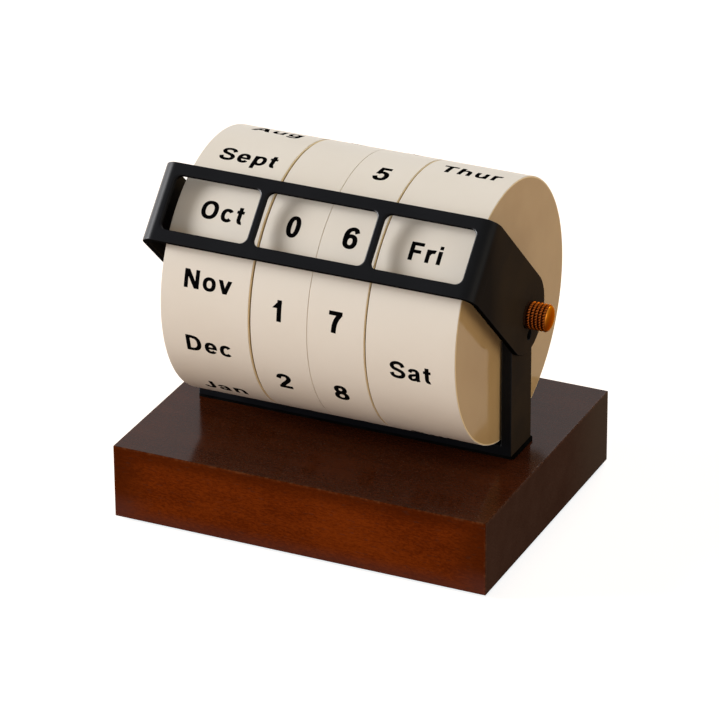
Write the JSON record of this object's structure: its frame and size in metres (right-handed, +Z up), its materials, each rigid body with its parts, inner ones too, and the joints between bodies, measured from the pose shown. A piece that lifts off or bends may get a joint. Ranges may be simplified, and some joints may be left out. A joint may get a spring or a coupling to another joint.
{
  "type": "rotary perpetual calendar",
  "caption": "Desk perpetual calendar: lettered drums for month, date and weekday turn on one axle behind a black windowed frame, on a wooden base.",
  "frame": {"origin": "under the middle of the base, on the surface that it stands on", "axes": "+X along the axle towards the weekday drum, -Y towards the reader, +Z up"},
  "size_m": [0.1214, 0.0936, 0.1093],
  "materials": {
    "wood": "dark red-brown stain under satin lacquer",
    "felt": "pressed felt",
    "black_metal": "satin black powder coat",
    "pad_rubber": "matt",
    "steel": "turned, zinc plated",
    "washer_nylon": "natural nylon",
    "drum_plastic": "moulded tan plastic, semi-gloss",
    "label_film": "printed ivory film, silk matt",
    "knob_brass": "knurled, amber lacquer"
  },
  "bodies": {
    "stand": {"wood_base": "wood", "base_felt": "felt", "bracket": "black_metal", "bracket_pad": "pad_rubber", "bracket_screws": "steel", "window_frame": "black_metal", "locating_pins": "black_metal", "axle": "steel", "left_spacer": "washer_nylon", "month_washer": "washer_nylon", "tens_washer": "washer_nylon", "units_washer": "washer_nylon", "weekday_washer": "washer_nylon"},
    "month_drum": {"month_drum_shell": "drum_plastic", "month_drum_cap": "drum_plastic", "month_label": "label_film"},
    "tens_drum": {"tens_drum_shell": "drum_plastic", "tens_drum_cap": "drum_plastic", "tens_label": "label_film"},
    "units_drum": {"units_drum_shell": "drum_plastic", "units_drum_cap": "drum_plastic", "units_label": "label_film"},
    "weekday_drum": {"weekday_drum_shell": "drum_plastic", "weekday_drum_cap": "drum_plastic", "weekday_label": "label_film"},
    "left_knob_washer": {"left_knob_washer": "black_metal"},
    "left_knob": {"left_knob": "knob_brass"},
    "right_knob_washer": {"right_knob_washer": "black_metal"},
    "right_knob": {"right_knob": "knob_brass"}
  },
  "joints": [
    {"name": "month_turn", "type": "hinge", "parent": "stand", "child": "month_drum", "pos_m": [-0.03225, 0, 0.06932], "axis": [1, 0, 0], "continuous": true},
    {"name": "tens_turn", "type": "hinge", "parent": "stand", "child": "tens_drum", "pos_m": [-0.0084, 0, 0.06932], "axis": [1, 0, 0], "continuous": true},
    {"name": "units_turn", "type": "hinge", "parent": "stand", "child": "units_drum", "pos_m": [0.0099, 0, 0.06932], "axis": [1, 0, 0], "continuous": true},
    {"name": "weekday_turn", "type": "hinge", "parent": "stand", "child": "weekday_drum", "pos_m": [0.0334, 0, 0.06932], "axis": [1, 0, 0], "continuous": true},
    {"name": "left_washer_slide", "type": "slide", "parent": "stand", "child": "left_knob_washer", "axis": [-1, 0, 0], "range_m": [0, 0.0033]},
    {"name": "left_knob_turn", "type": "hinge", "parent": "left_knob_washer", "child": "left_knob", "pos_m": [-0.057, 0, 0.06932], "axis": [-1, 0, 0], "range_deg": [0, 1440]},
    {"name": "right_washer_slide", "type": "slide", "parent": "stand", "child": "right_knob_washer", "axis": [1, 0, 0], "range_m": [0, 0.0033]},
    {"name": "right_knob_turn", "type": "hinge", "parent": "right_knob_washer", "child": "right_knob", "pos_m": [0.057, 0, 0.06932], "axis": [1, 0, 0], "range_deg": [0, 1440]}
  ],
  "couplings": [
    {"joint": "left_washer_slide", "follows": "left_knob_turn", "m_per_rad": 0.00012732},
    {"joint": "right_washer_slide", "follows": "right_knob_turn", "m_per_rad": 0.00012732}
  ]
}
